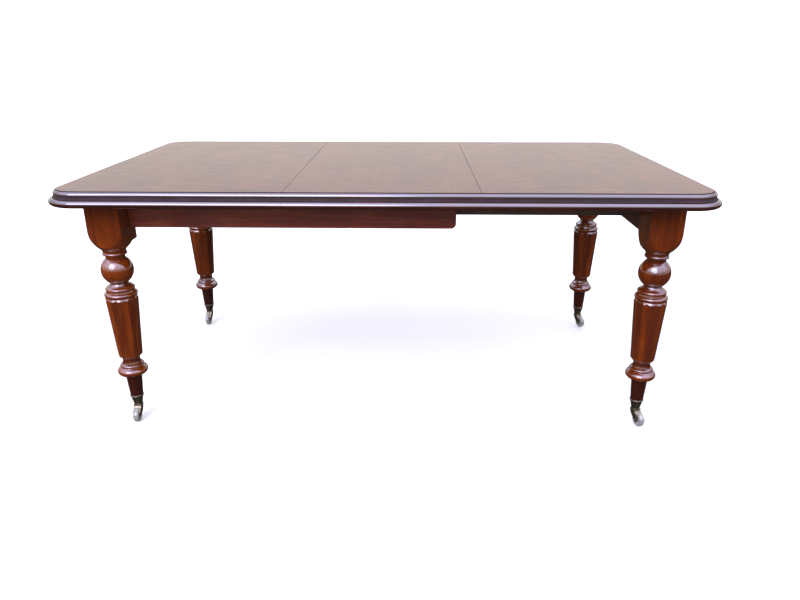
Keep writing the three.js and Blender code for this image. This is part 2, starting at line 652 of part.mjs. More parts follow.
// The horn trails towards +X: a round boss on top, and a cheek each side of the wheel down to its pin.
function horn() {
  const side = new THREE.Shape();
  side.moveTo(-HORN_BOSS + 1, HORN_TOP - 1);
  side.quadraticCurveTo(-HORN_BOSS + 2, WHEEL_RADIUS + 8, TRAIL - EYE * 0.9, WHEEL_RADIUS - EYE * 0.45);
  side.absarc(TRAIL, WHEEL_RADIUS, EYE, Math.PI * 1.15, Math.PI * 2.05, false);
  side.quadraticCurveTo(TRAIL + 3, HORN_CROWN - 3, HORN_BOSS - 1, HORN_TOP - 1);
  const boss = turned([[0, HORN_CROWN], [HORN_BOSS, HORN_CROWN], [HORN_BOSS, HORN_TOP], [0, HORN_TOP]]);
  const slot = block(-2 * HORN_BOSS, TRAIL + 2 * WHEEL_RADIUS, -HORN_SLOT / 2, HORN_SLOT / 2, 0, HORN_CROWN);
  const pivot = turned([[0, 0], [PIVOT + GAP, 0], [PIVOT + GAP, HEIGHT], [0, HEIGHT]], 16);
  const bore = AXLE + GAP;
  const axle = turned([[0, -HORN_WIDTH], [bore, -HORN_WIDTH], [bore, HORN_WIDTH], [0, HORN_WIDTH]], 12);
  return plate(side, HORN_WIDTH, 1)
    .add(boss)
    .subtract(slot)
    .subtract(pivot)
    .subtract(axle.rotate([90, 0, 0]).translate([TRAIL, 0, WHEEL_RADIUS]));
}

function axlePin() {
  const reach = HORN_WIDTH / 2 + GAP;
  const end = reach + 1.6;
  const head = [[AXLE_HEAD, reach], [AXLE_HEAD, reach + 0.5], [AXLE_HEAD - 1.5, end], [0, end]];
  const half = [[AXLE, reach], ...head];
  const otherHalf = half.map(([r, z]) => [r, -z]).reverse();
  return turned([...otherHalf, ...half], 12).rotate([90, 0, 0]);
}

function wheel() {
  const half = WHEEL_WIDTH / 2;
  const bore = AXLE + GAP;
  const rim = [[WHEEL_RADIUS - 2.6, 1 - half], [WHEEL_RADIUS - 0.7, 4 - half], [WHEEL_RADIUS, 0],
    [WHEEL_RADIUS - 0.7, half - 4], [WHEEL_RADIUS - 2.6, half - 1]];
  const dish = WHEEL_RADIUS - 6;
  const solid = turned([[bore, -half], [dish, -half], ...rim, [dish, half], [bore, half], [bore, -half]], 20);
  return solid.rotate([90, 0, 0]);
}

function castor(name, signX, signY) {
  const group = new THREE.Group();
  const swivel = new THREE.Group();
  swivel.rotation.z = THREE.MathUtils.degToRad(CASTOR_TURN[name]);
  swivel.add(
    piece(`${name}_castor_horn`, horn(), 'brass'),
    placed(piece(`${name}_castor_pin`, axlePin(), 'iron'), TRAIL, 0, WHEEL_RADIUS),
    placed(piece(`${name}_castor_wheel`, wheel(), 'ceramic'), TRAIL, 0, WHEEL_RADIUS),
  );
  group.position.set(signX * LEG_X, signY * LEG_Y, 0);
  group.add(piece(`${name}_castor_cup`, cup(), 'brass'), swivel);
  return group;
}

// ---- the table ----

const table = new THREE.Group();

const leftSection = endSection('left', 'rear', 'front');
leftSection.rotation.z = Math.PI;
table.add(leftSection, leaf(), endSection('right', 'front', 'rear'));

for (const [corner, signX, signY] of [
  ['front_left', -1, -1],
  ['rear_left', -1, 1],
  ['front_right', 1, -1],
  ['rear_right', 1, 1],
]) {
  table.add(leg(corner, signX, signY), castor(corner, signX, signY));
}

for (const [side, signY] of [['front', -1], ['rear', 1]]) {
  table.add(
    sideApron(side, signY),
    guide(side, signY),
    slide(side, signY),
    legCornerBlock(side, signY),
    slideCornerBlock(side, signY),
  );
}

table.add(leftEndApron(), rightEndApron(), crossRail(), tailRail());
table.add(screw(), screwCollar(), escutcheon(), bearingPlate(), nut());

export default table;
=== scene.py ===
# Looks of a mahogany wind-out dining table with one loose leaf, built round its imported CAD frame.
# Sizes are in millimetres in the frame's own axes: +Z up, +X towards the end that winds out, front at -Y.

import json
import math

import bmesh
import bpy
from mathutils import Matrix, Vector


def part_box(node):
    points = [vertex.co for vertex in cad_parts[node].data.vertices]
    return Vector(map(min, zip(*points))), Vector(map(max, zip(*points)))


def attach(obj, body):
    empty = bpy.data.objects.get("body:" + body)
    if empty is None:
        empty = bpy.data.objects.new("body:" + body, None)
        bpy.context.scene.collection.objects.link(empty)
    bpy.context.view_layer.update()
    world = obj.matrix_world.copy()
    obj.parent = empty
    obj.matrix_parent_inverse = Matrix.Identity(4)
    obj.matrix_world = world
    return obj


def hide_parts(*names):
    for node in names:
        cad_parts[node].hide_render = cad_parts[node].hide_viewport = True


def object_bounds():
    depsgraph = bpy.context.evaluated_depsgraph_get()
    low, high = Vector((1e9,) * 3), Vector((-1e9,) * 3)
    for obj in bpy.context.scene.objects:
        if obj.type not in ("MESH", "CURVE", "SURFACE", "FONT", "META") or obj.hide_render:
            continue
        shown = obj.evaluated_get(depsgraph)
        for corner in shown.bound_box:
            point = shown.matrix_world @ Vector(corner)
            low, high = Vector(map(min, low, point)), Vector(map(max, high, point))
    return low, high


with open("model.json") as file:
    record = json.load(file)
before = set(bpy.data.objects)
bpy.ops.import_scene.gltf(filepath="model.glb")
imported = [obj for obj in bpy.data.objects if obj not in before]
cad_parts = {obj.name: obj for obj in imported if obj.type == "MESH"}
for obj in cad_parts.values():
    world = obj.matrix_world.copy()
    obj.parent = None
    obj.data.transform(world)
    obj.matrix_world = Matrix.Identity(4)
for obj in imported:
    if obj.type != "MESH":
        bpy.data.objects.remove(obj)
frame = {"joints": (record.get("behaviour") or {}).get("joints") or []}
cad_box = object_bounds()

# ---- top boards ----
# Three boards of solid mahogany: two end boards with round corners and the loose leaf between them. Their
# edges are thumb moulded with a plane (cove, ovolo and a small upright step round the field), and the
# seams' arrises are eased. Screwed down from underneath.

MM = 0.001
half_length = cad_box[1].x / MM
half_width = cad_box[1].y / MM
top_level = cad_box[1].z / MM
leaf_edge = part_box("centre_leaf")[1].x / MM
seam_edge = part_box("right_top")[0].x / MM
board_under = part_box("right_top")[0].z / MM
CORNER = 90  # plan radius of the top's corners
SEAM_EASE = 0.9


def arc(r, z, across, rise, start, end, steps):
    """Points on an arc or ellipse from start to end, in degrees."""
    turn = [math.radians(start + (end - start) * i / steps) for i in range(steps + 1)]
    return [(r + across * math.cos(a), z + rise * math.sin(a)) for a in turn]


def oblong(left, low, right, high):
    """A four-cornered outline."""
    return [(left, low), (right, low), (right, high), (left, high)]


def end_outline(inset, ease=0.0):
    """Outline of an end section at an inset from the table's edge, from the seam round both corners."""
    x, y, r = half_length - CORNER, half_width - CORNER, CORNER - inset
    ends = [(seam_edge + ease, side * (half_width - inset)) for side in (-1, 1)]
    return [ends[0], *arc(x, -y, r, r, -90, 0, 24), *arc(x, y, r, r, 0, 90, 24), ends[1]]


def left_outline(inset, ease=0.0):
    return [(-x, -y) for x, y in end_outline(inset, ease)]


def leaf_outline(inset, ease=0.0):
    x, y = leaf_edge - ease, half_width - inset
    return oblong(-x, -y, x, y)


def loft(rings):
    """Points and faces of a solid through rings of points, lowest first, with flat ends."""
    count = len(rings[0])
    points = [p for ring in rings for p in ring]
    faces = [tuple(reversed(range(count)))]
    for start in range(0, len(points) - count, count):
        for i in range(count):
            a, b = start + i, start + (i + 1) % count
            faces.append((a, b, b + count, a + count))
    faces.append(tuple(range(len(points) - count, len(points))))
    return points, faces


def make(name, shape, materials, body, node=None, arris=0.0, sharp=32):
    """An object from points in millimetres, riding on a body, with sharp edges above an angle in degrees."""
    points, faces = shape
    mesh = bpy.data.meshes.new(name)
    mesh.from_pydata([Vector(p) * MM for p in points], [], faces)
    for material in materials:
        mesh.materials.append(material)
    solid = bmesh.new()
    solid.from_mesh(mesh)
    bmesh.ops.remove_doubles(solid, verts=solid.verts, dist=1e-7)
    bmesh.ops.recalc_face_normals(solid, faces=solid.faces)
    solid.to_mesh(mesh)
    solid.free()
    mesh.shade_smooth()
    mesh.set_sharp_from_angle(angle=math.radians(sharp))
    piece = bpy.data.objects.new(name, mesh)
    bpy.context.scene.collection.objects.link(piece)
    if arris:
        bevel = piece.modifiers.new("eased_arris", "BEVEL")
        bevel.width = arris * MM
        bevel.segments = 3
        bevel.limit_method = "ANGLE"
        bevel.angle_limit = math.radians(38)
        bevel.harden_normals = True
    if node:
        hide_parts(node)
    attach(piece, body)
    return piece


def linear(code):
    """An sRGB hex colour as linear red, green, blue and alpha."""
    parts = [int(code[i:i + 2], 16) / 255 for i in (1, 3, 5)]
    return (*(c / 12.92 if c <= 0.04045 else ((c + 0.055) / 1.055) ** 2.4 for c in parts), 1.0)


def add(tree, kind, settings=(), links=()):
    """A node of that kind, with its settings and with links into its inputs."""
    made = tree.nodes.new(kind)
    for key, value in dict(settings).items():
        if key == "stops":
            for _ in value[2:]:
                made.color_ramp.elements.new(0.5)
            for element, (place, colour) in zip(made.color_ramp.elements, value):
                element.position = place
                element.color = colour
        elif isinstance(key, str) and hasattr(made, key):
            setattr(made, key, value)
        else:
            made.inputs[key].default_value = value
    for key, socket in dict(links).items():
        tree.links.new(socket, made.inputs[key])
    return made


def start_material(name, settings):
    """A material with its Principled shader set, and its tree."""
    material = bpy.data.materials.new(name)
    material.use_nodes = True
    tree = material.node_tree
    shader = tree.nodes["Principled BSDF"]
    for key, value in settings.items():
        shader.inputs[key].default_value = value
    return material, tree, shader


STREAK = 7.0  # width of a growth streak
PORE = 1.6  # real pores are 0.2 mm wide; drawn this coarse, they show
CLOUD = 110  # size of the paler and darker areas in a board
FLAME = 150  # spacing of the figure's bands
WEAR = 45  # size of the patches where polish is rubbed thin


def timber(name, pale, rich, dark, grain, polish, figure=0.0, reads_stain_and_shade=False, coat_ior=1.5):
    """Wood with streaks and open pores. grain is the axis it runs along, polish its lowest and highest
    roughness and the weight of the shellac over it, figure the strength of the flame across the grain;
    with the legs' flag set it reads the darkening that the mesh code lays in recesses and on the foot, with
    painted light and shade in stripes on the legs' flats."""
    smooth, dull, shellac = polish
    settings = {"IOR": 1.5, "Coat Weight": shellac, "Coat Roughness": 0.06, "Coat IOR": coat_ior}
    material, tree, shader = start_material(name, settings)
    along = "xyz".index(grain)
    place = add(tree, "ShaderNodeTexCoord").outputs["Object"]

    def stretched(share):
        scale = [1.0, 1.0, 1.0]
        scale[along] = share
        return add(tree, "ShaderNodeMapping", {"Scale": scale}, {"Vector": place}).outputs["Vector"]

    clouds = add(tree, "ShaderNodeTexNoise", {"Scale": 1 / (CLOUD * MM), "Detail": 3, "Distortion": 0.8},
                 {"Vector": stretched(0.35)})
    streaks = add(tree, "ShaderNodeTexNoise", {"Scale": 1 / (STREAK * MM), "Detail": 4, "Roughness": 0.62},
                  {"Vector": stretched(0.03)})
    pores = add(tree, "ShaderNodeTexNoise", {"Scale": 1 / (PORE * MM), "Detail": 1},
                {"Vector": stretched(0.07)})
    flame = add(tree, "ShaderNodeTexWave",
                {"Scale": 1 / (FLAME * MM), "Distortion": 9.0, "Detail": 2.5, "Detail Scale": 0.9,
                 "bands_direction": grain.upper()}, {"Vector": place})
    tone = add(tree, "ShaderNodeMath", {"operation": "MULTIPLY_ADD", 1: 0.55},
               {0: clouds.outputs["Fac"], 2: add(tree, "ShaderNodeMath", {"operation": "MULTIPLY", 1: 0.45},
                                                 {0: streaks.outputs["Fac"]}).outputs[0]})
    wood = add(tree, "ShaderNodeValToRGB",
               {"stops": [(0.3, linear(dark)), (0.5, linear(rich)), (0.7, linear(pale))]},
               {"Fac": tone.outputs[0]})
    chatoyance = add(tree, "ShaderNodeMapRange", {"To Min": 1.0 - figure, "To Max": 1.0 + figure},
                     {"Value": flame.outputs["Fac"]})
    lit = add(tree, "ShaderNodeVectorMath", {"operation": "SCALE"},
              {0: wood.outputs["Color"], "Scale": chatoyance.outputs["Result"]})
    pore_mask = add(tree, "ShaderNodeMapRange", {"From Min": 0.56, "From Max": 0.68, "To Max": 0.3},
                    {"Value": pores.outputs["Fac"]})
    colour = add(tree, "ShaderNodeMixRGB", {"Color2": linear("#1e0a06")},
                 {"Fac": pore_mask.outputs["Result"], "Color1": lit.outputs["Vector"]})
    # The legs' attribute darkens the wood towards near-black: darker in the necks and on the foot, and
    # painted light and shade in stripes on the flats.
    if reads_stain_and_shade:
        stain = add(tree, "ShaderNodeAttribute", {"attribute_name": "stain"})
        colour = add(tree, "ShaderNodeMixRGB", {"Color2": linear("#1c0709")},
                     {"Fac": stain.outputs["Fac"], "Color1": colour.outputs["Color"]})
    wear = add(tree, "ShaderNodeTexNoise", {"Scale": 1 / (WEAR * MM), "Detail": 3}, {"Vector": place})
    rough = add(tree, "ShaderNodeMapRange",
                {"From Min": 0.3, "From Max": 0.7, "To Min": smooth, "To Max": dull},
                {"Value": wear.outputs["Fac"]})
    bump = add(tree, "ShaderNodeBump", {"Strength": 0.25, "Distance": 0.12 * MM, "invert": True},
               {"Height": pore_mask.outputs["Result"]})
    tree.links.new(colour.outputs[0], shader.inputs["Base Color"])
    tree.links.new(rough.outputs["Result"], shader.inputs["Roughness"])
    tree.links.new(bump.outputs["Normal"], shader.inputs["Normal"])
    return material


# French polish on a flat board: shellac rubbed to a mirror, warm red-brown with a faint flame across it.
polished_top = timber("mahogany_french_polished_top", "#5c3120", "#4a2518", "#3b1c12", "y",
                      (0.12, 0.2, 0.0), figure=0.27)
# The same wood left from the plane under the table: dry, dull and dirty.
bare_mahogany = timber("mahogany_planed_bare", "#5f4230", "#4b3224", "#38241a", "y", (0.6, 0.8, 0.0))

# The mouldings: darker than the boards, with a thick build of polish that was never rubbed flat, so that
# every round carries a bright line.
polished_moulding = timber("mahogany_french_polished_moulding", "#431a14", "#2e110e", "#1e0908", "x",
                           (0.16, 0.24, 1.0), coat_ior=1.8)

# Painted shade: the hollows of the moulding, the cove and the upright step round the field, are painted
# almost black, and left dull.
painted_shade_hollow = timber("mahogany_painted_shade_hollow", "#2b0f0e", "#200b0b", "#170809", "x", (0.8, 0.95, 0.0))

COVE_TOP = (board_under + top_level) / 2
QUIRK = 2.4  # height of the upright step round the field
BOARD_INSET = 11  # how far the board's underside stands back from the bullnose
FIELD_INSET = 22.5
COVE_DEPTH = 3.6
OVOLO_REACH = 8.5
# Inset, level and easing of the seam's arris, from the underside up.
board_edge = [
    (BOARD_INSET, board_under, 0), (BOARD_INSET, board_under + 1.2, 0),
    *[(r, z, 0) for r, z in arc(BOARD_INSET, COVE_TOP - 2, COVE_DEPTH, COVE_TOP - 3.2 - board_under,
                                -90, 0, 8)],
    (BOARD_INSET + COVE_DEPTH, COVE_TOP, 0),
    *[(r, z, 0) for r, z in arc(FIELD_INSET, COVE_TOP + 0.4, -OVOLO_REACH, top_level - QUIRK - COVE_TOP,
                                0, 80, 12)],
    (FIELD_INSET, top_level - QUIRK, 0), (FIELD_INSET, top_level - 0.6, 0),
    (FIELD_INSET + 0.2, top_level - 0.25, SEAM_EASE / 4), (FIELD_INSET + 0.6, top_level, SEAM_EASE),
]

for name, outline, node, body in [
    ("left_top_board", left_outline, "left_top", "fixed_half"),
    ("leaf_board", leaf_outline, "centre_leaf", "leaf"),
    ("right_top_board", end_outline, "right_top", "moving_half"),
]:
    rings = [[(x, y, z) for x, y in outline(inset, ease)] for inset, z, ease in board_edge]
    piece = make(name, loft(rings), [polished_top, bare_mahogany, polished_moulding, painted_shade_hollow], body,
                 node, sharp=20)
    under = min(v.co.z for v in piece.data.vertices)
    for face in piece.data.polygons:
        upright = abs(face.normal.x) > 0.3 and abs(face.center.x) < (seam_edge + 1) * MM
        bare = upright or (face.normal.z < -0.9 and face.center.z < under + 1e-5)
        # The cove and the upright step take the near-black painted shade.
        hollow = face.center.z < (COVE_TOP + 0.3) * MM or face.center.z > (top_level - QUIRK) * MM
        face.material_index = 1 if bare else 0 if face.normal.z > 0.99 else 3 if hollow else 2

# ---- bullnose mouldings ----
# Half-round mahogany strips glued and screwed round the underside of the boards to make the edge look
# thick: one along each side of every section, and one across each end, mitred at the round corners.

BULLNOSE = 10
MOULDING = 60  # width of the strips
moulding_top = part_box("right_end_moulding")[1].z / MM
MITRE_GAP = 0.3
bullnose = arc(BULLNOSE, moulding_top - BULLNOSE, -BULLNOSE, BULLNOSE, -90, 90, 20)


def side_moulding_outline(inset):
    """Front strip of the right end, from the seam to the mitre in the middle of the corner."""
    x, y, r = half_length - CORNER - MITRE_GAP * math.sqrt(0.5), CORNER - half_width, CORNER - inset
    inner_x, inner_y = x + CORNER - MOULDING, MOULDING - half_width
    return [(seam_edge, inset - half_width), *arc(x, y, r, r, -90, -45, 12), (inner_x, inner_y),
            (seam_edge, inner_y)]


def end_moulding_outline(inset):
    """Strip across the right end, between the mitres in the middle of its two corners."""
    x, y, r = half_length - CORNER, half_width - CORNER - MITRE_GAP * math.sqrt(0.5), CORNER - inset
    inner_x, inner_y = half_length - MOULDING, y + CORNER - MOULDING
    return [*arc(x, -y, r, r, -45, 0, 12), *arc(x, y, r, r, 0, 45, 12), (inner_x, inner_y),
            (inner_x, -inner_y)]


def leaf_moulding_outline(inset):
    return oblong(-leaf_edge, inset - half_width, leaf_edge, MOULDING - half_width)


for name, outline, mirror, body in [
    ("left_end", end_moulding_outline, (-1, 1), "fixed_half"),
    ("left_front", side_moulding_outline, (-1, 1), "fixed_half"),
    ("left_rear", side_moulding_outline, (-1, -1), "fixed_half"),
    ("leaf_front", leaf_moulding_outline, (1, 1), "leaf"),
    ("leaf_rear", leaf_moulding_outline, (1, -1), "leaf"),
    ("right_end", end_moulding_outline, (1, 1), "moving_half"),
    ("right_front", side_moulding_outline, (1, 1), "moving_half"),
    ("right_rear", side_moulding_outline, (1, -1), "moving_half"),
]:
    rings = [[(x * mirror[0], y * mirror[1], z) for x, y in outline(inset)] for inset, z in bullnose]
    make(name + "_bullnose", loft(rings), [polished_moulding], body, name + "_moulding",
         arris=0.4)

# ---- legs ----
# Each leg is one piece of mahogany: a square block whose corners are turned into round shoulders, then a
# ring, a ball, two rings, a taper planed to twelve flats, a neck, a collar and a foot for the castor.

HALF_LEG = 47
FACET = 30  # degrees of each of the twelve flats
HOLLOW = 0.5  # each flat is a little hollow from the plane
ARRIS_TURN = 44.05  # degrees from the middle of a face to the eased corner of the block
half_face = [3.75 * i for i in range(12)] + [ARRIS_TURN]
face_turns = sorted([-a for a in half_face[1:]] + half_face + [45])
leg_turns = [face + a for face in (0, 90, 180, 270) for a in face_turns]
POMMEL_TOP = 625
POMMEL_RISE = 82
POMMEL_REACH = HALF_LEG * math.sqrt(2)
BALL = 491  # level of the ball's middle
BALL_RADIUS = 45
TAPER_TOP, TAPER_FOOT = 405, 222
TAPER_THICK, TAPER_THIN = 46.5, 34.8
BLOCK_LOW = 553  # the block and its shoulders lie above this level
FOOT_TOP = 155


def through(points, steps):
    """A smooth curve through points, by Catmull and Rom's rule."""
    found = []
    padded = [points[0], *points, points[-1]]
    for a, b, c, d in zip(padded, padded[1:], padded[2:], padded[3:]):
        for i in range(steps):
            t = i / steps
            found.append(tuple(
                0.5 * (2 * q + (r - p) * t + (2 * p - 5 * q + 4 * r - s) * t ** 2
                       + (3 * q - p - 3 * r + s) * t ** 3) for p, q, r, s in zip(a, b, c, d)))
    return [*found, points[-1]]


def face_reach(turn):
    """Distance from a leg's middle to a face of its square, at an angle from the middle of that face."""
    return HALF_LEG / math.cos(math.radians(turn))


def pommel_level(radius):
    """Level at which the block's turned shoulder has that radius."""
    return POMMEL_TOP - POMMEL_RISE * math.sqrt(1 - min(1, radius / POMMEL_REACH) ** 2)


# Radius, level and kind of section from the foot up.
leg_rings = [(r, z, "round") for r, z in [
    (10.4, 58.4), (16.8, 84.9), (18.2, 84.9), (18.4, 85.3),
    *through([(18.6, 88), (21.0, 118), (22.9, 146), (24.6, 153.5)], 6),
    *arc(26, 170, 17.5, 14, -74, 60, 18), *arc(29, 188, 5.2, 5.2, -48, 72, 9),
    *through([(26.6, 195.5), (24.6, 204), (25.6, 212), (28.4, 216)], 5),
]]
leg_rings += [(TAPER_THIN - 0.9, TAPER_FOOT - 1.6, "facet")]
leg_rings += [(TAPER_THIN + (TAPER_THICK - TAPER_THIN) * i / 8,
               TAPER_FOOT + (TAPER_TOP - TAPER_FOOT) * i / 8, "facet") for i in range(9)]
leg_rings += [(r, z, "round") for r, z in [
    (43.4, TAPER_TOP + 3.4), (42.6, TAPER_TOP + 5.2),
    *arc(40, 418, 6.5, 6.5, -62, 66, 12), (39.4, 425.4), (38.6, 428.2), (38.2, 430.4),
    *arc(35.5, 435.5, 5.5, 5.5, -52, 70, 10),
    *through([(34.4, 441.8), (29, 446), (25.8, 450.6), (25.6, 453.2)], 4),
    *arc(0, BALL, BALL_RADIUS, BALL_RADIUS, -56, 54, 26), (26.4, 529.5), (27.2, 534.6),
    *arc(29.5, 541, 4.5, 4.5, -72, 72, 9), (31.4, 546.4), (32.4, 549), (33, 552.6),
]]
leg_rings += [(r, z, "block") for r, z in arc(0, POMMEL_TOP, POMMEL_REACH, POMMEL_RISE, -58, -46, 4)]
pommel_start = len(leg_rings)
leg_rings += [(face_reach(a), pommel_level(face_reach(a)), "block") for a in half_face]
arris_radius = face_reach(ARRIS_TURN)
leg_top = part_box("front_left_leg")[1].z / MM
leg_rings += [(arris_radius, POMMEL_TOP + 6, "block"), (arris_radius, leg_top, "block")]
pommel_end = len(leg_rings) - 2


def section_radius(radius, kind, turn):
    """Radius of a leg's section at an angle: round, twelve flats or a square with rounded corners."""
    if kind == "facet":
        off = (turn + FACET / 2) % FACET - FACET / 2
        flat = radius * math.cos(math.radians(FACET / 2)) / math.cos(math.radians(off))
        return min(flat - HOLLOW * (1 - (2 * off / FACET) ** 2), radius * 0.996)
    if kind == "block":
        return min(radius, face_reach((turn + 45) % 90 - 45))
    return radius


def leg_stain_and_shade(radius, z, kind, turn):
    """How dark a point is: darker in the narrow necks, low on the block and on the foot; on the flats,
    painted light and shade in stripes, darker towards each flat's edges.
    """
    if kind == "block":
        return 0.12 if z > 560 else 0.4
    if kind == "facet":
        # Painted light and shade: the flats alternate lighter and darker, the way reflections would show
        # them, and darken towards their edges.
        flat = round(turn / FACET) % 12
        off = abs((turn + FACET / 2) % FACET - FACET / 2) / (FACET / 2)
        return (0.05, 0.45, 0.12, 0.5)[(flat * 7) % 4] * (1 - 0.4 * off) + 0.25 * off ** 3
    if z < FOOT_TOP:
        return 0.86
    neck = min(1.0, max(0.0, (36 - radius) / 12))
    return 0.15 + 0.45 * neck


# Oiled and polished on the lathe: orange-brown, darker to nearly black in the necks and on the foot, with
# painted light and shade in stripes on the twelve flats.
polished_leg = timber("mahogany_french_polished_leg", "#8c410c", "#642808", "#3e1707", "z",
                      (0.1, 0.2, 1.0), reads_stain_and_shade=True, coat_ior=1.65)

for corner in ("front_left", "rear_left", "front_right", "rear_right"):
    low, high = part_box(corner + "_leg")
    cx, cy = (low.x + high.x) / 2 / MM, (low.y + high.y) / 2 / MM
    rings = []
    for r, z, kind in leg_rings:
        reach = [(section_radius(r, kind, t), math.radians(t)) for t in leg_turns]
        rings.append([(cx + out * math.cos(a), cy + out * math.sin(a), z) for out, a in reach])
    points, faces = loft(rings)
    count = len(leg_turns)
    cut_faces = []
    # The shoulders' faces are split along the curve where the turning meets the flats.
    for face in faces:
        ring = face[0] // count
        if len(face) > 4 or not pommel_start <= ring < pommel_end:
            cut_faces.append(face)
            continue
        a, b, c, d = face
        rising = ((leg_turns[a % count] + 45.01) % 90) > 45
        cut_faces += [(a, b, c), (a, c, d)] if rising else [(a, b, d), (b, c, d)]
    body = "fixed_half" if "left" in corner else "moving_half"
    piece = make(corner + "_turned_leg", (points, cut_faces), [polished_leg], body,
                 corner + "_leg", sharp=24)
    # The attribute holds how dark each point is painted: darker necks and foot, and painted light and shade
    # on the flats.
    stain = piece.data.attributes.new("stain", "FLOAT", "POINT")
    for vertex in piece.data.vertices:
        x, y, z = vertex.co / MM
        turn = math.degrees(math.atan2(y - cy, x - cx))
        radius = math.hypot(x - cx, y - cy)
        kind = "block" if z > BLOCK_LOW else "facet" if TAPER_FOOT - 2 < z < TAPER_TOP + 1 else "round"
        stain.data[vertex.index].value = leg_stain_and_shade(radius, z, kind, turn)

# ---- aprons ----
# Straight-grained mahogany rails with eased arrises. The side aprons are tenoned into the left legs only
# and end short, with a rounded lower corner; the end aprons stand between the legs.

polished_frame = timber("mahogany_french_polished_frame", "#8a402a", "#6a2a1b", "#491a12", "x",
                        (0.3, 0.42, 0.6))
polished_end = timber("mahogany_french_polished_end_rail", "#6d3322", "#522116", "#3a150f", "y",
                      (0.3, 0.42, 0.6))
FREE_CORNER = 14
TENON = 25  # length of an apron's end that the leg hides


def prism(outline, low, high, axis):
    """A solid of that outline between two levels of an axis; outline is in the other two, in order."""
    at = "xyz".index(axis)
    return loft([[(*p[:at], level, *p[at:]) for p in outline] for level in (low, high)])


for side in ("front", "rear"):
    low, high = (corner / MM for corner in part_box(side + "_apron"))
    left = low.x + TENON
    rounded = arc(high.x - FREE_CORNER, low.z + FREE_CORNER, FREE_CORNER, FREE_CORNER, -90, 0, 10)
    outline = [(left, low.z), *rounded, (high.x, high.z), (left, high.z)]
    make(side + "_side_apron", prism(outline, low.y, high.y, "y"), [polished_frame], "fixed_half",
         side + "_apron", arris=1.5)

for end, body in (("left", "fixed_half"), ("right", "moving_half")):
    low, high = (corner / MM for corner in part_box(end + "_end_apron"))
    reach = high.y - TENON
    outline = oblong(-reach, low.z, reach, high.z)
    make(end + "_end_rail", prism(outline, low.x, high.x, "x"), [polished_end], body,
         end + "_end_apron", arris=1.5)

# ---- corner blocks ----
# Small mahogany blocks glued and screwed in the angle of the left legs under the end rail, and
# three-cornered blocks of the slides' timber where the slides meet the right end rail.

for side in ("front", "rear"):
    low, high = (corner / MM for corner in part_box(side + "_left_corner_block"))
    outline = oblong(low.y, low.z, high.y, high.z)
    make(side + "_left_glue_block", prism(outline, low.x, high.x, "x"), [polished_frame], "fixed_half",
         side + "_left_corner_block", arris=2.0)

# Beech from the works, oiled dark with age and handling: it carries the table, so it is never polished.
oiled_beech, oiled_beech_cross = [
    timber(name, "#5b3d27", "#46301f", "#332216", grain, (0.5, 0.7, 0.0))
    for name, grain in (("beech_planed_oiled", "x"), ("beech_planed_oiled_cross", "y"))
]

for side, sign in (("front", -1), ("rear", 1)):
    low, high = (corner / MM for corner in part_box(side + "_slide_corner_block"))
    inner, outer = (low.y, high.y) if sign > 0 else (high.y, low.y)
    outline = [(high.x, inner), (high.x, outer), (low.x, outer)]
    make(side + "_slide_glue_block", prism(outline, low.z, high.z, "z"), [oiled_beech], "moving_half",
         side + "_slide_corner_block", arris=1.2)

# ---- slides, guides and cross rails ----
# The right end rides on two grooved beech slides that run on guide strips screwed to the side aprons. A
# rail under the slides joins the aprons' free ends; another joins the slides' tails and holds the nut.

GUIDE_CLEAR = 1  # play of the guide strip in its groove
SHOULDER_GAP = 0.3
for side, sign in (("front", -1), ("rear", 1)):
    low, high = (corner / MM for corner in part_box(side + "_slide"))
    guide_low, guide_high = (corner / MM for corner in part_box(side + "_guide"))
    under, over = guide_low.z - GUIDE_CLEAR, guide_high.z + GUIDE_CLEAR
    groove = (guide_low.y - GUIDE_CLEAR) if sign > 0 else (guide_high.y + GUIDE_CLEAR)
    inner, outer = (low.y, high.y) if sign > 0 else (high.y, low.y)
    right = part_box("right_end_apron")[0].x / MM - SHOULDER_GAP
    outline = [(inner, low.z), (outer, low.z), (outer, under), (groove, under), (groove, over), (outer, over),
               (outer, high.z), (inner, high.z)]
    make(side + "_grooved_slide", prism(outline, low.x, right, "x"), [oiled_beech], "moving_half",
         side + "_slide", arris=1.0)
    outline = oblong(guide_low.y, guide_low.z, guide_high.y, guide_high.z)
    make(side + "_guide_strip", prism(outline, guide_low.x, guide_high.x, "x"), [oiled_beech], "fixed_half",
         side + "_guide", arris=0.8)

low, high = (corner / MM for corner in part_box("apron_cross_rail"))
outline = oblong(low.x, low.z, high.x, high.z)
make("apron_end_cross_rail", prism(outline, low.y, high.y, "y"), [oiled_beech_cross], "fixed_half",
     "apron_cross_rail", arris=2.0)


def lathe(profile, steps, place, closed=False):
    """A solid turned from radius and level points; place puts a turned point where it belongs."""
    points, rows = [], []
    for radius, level in profile:
        if radius < 1e-6:
            rows.append([len(points)] * steps)
            points.append(place(0, 0, level))
            continue
        rows.append(list(range(len(points), len(points) + steps)))
        turns = [2 * math.pi * i / steps for i in range(steps)]
        points += [place(radius * math.cos(t), radius * math.sin(t), level) for t in turns]
    faces = []
    for lower, upper in zip(rows, rows[1:] + (rows[:1] if closed else [])):
        for i in range(steps):
            j = (i + 1) % steps
            face = tuple(dict.fromkeys((lower[i], lower[j], upper[j], upper[i])))
            if len(face) > 2:
                faces.append(face)
    return points, faces


screw_level = (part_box("screw_nut")[0].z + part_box("screw_nut")[1].z) / 2 / MM


def along_screw(x, y, level):
    """A turned point laid down along the winding screw."""
    return (level, y, screw_level + x)


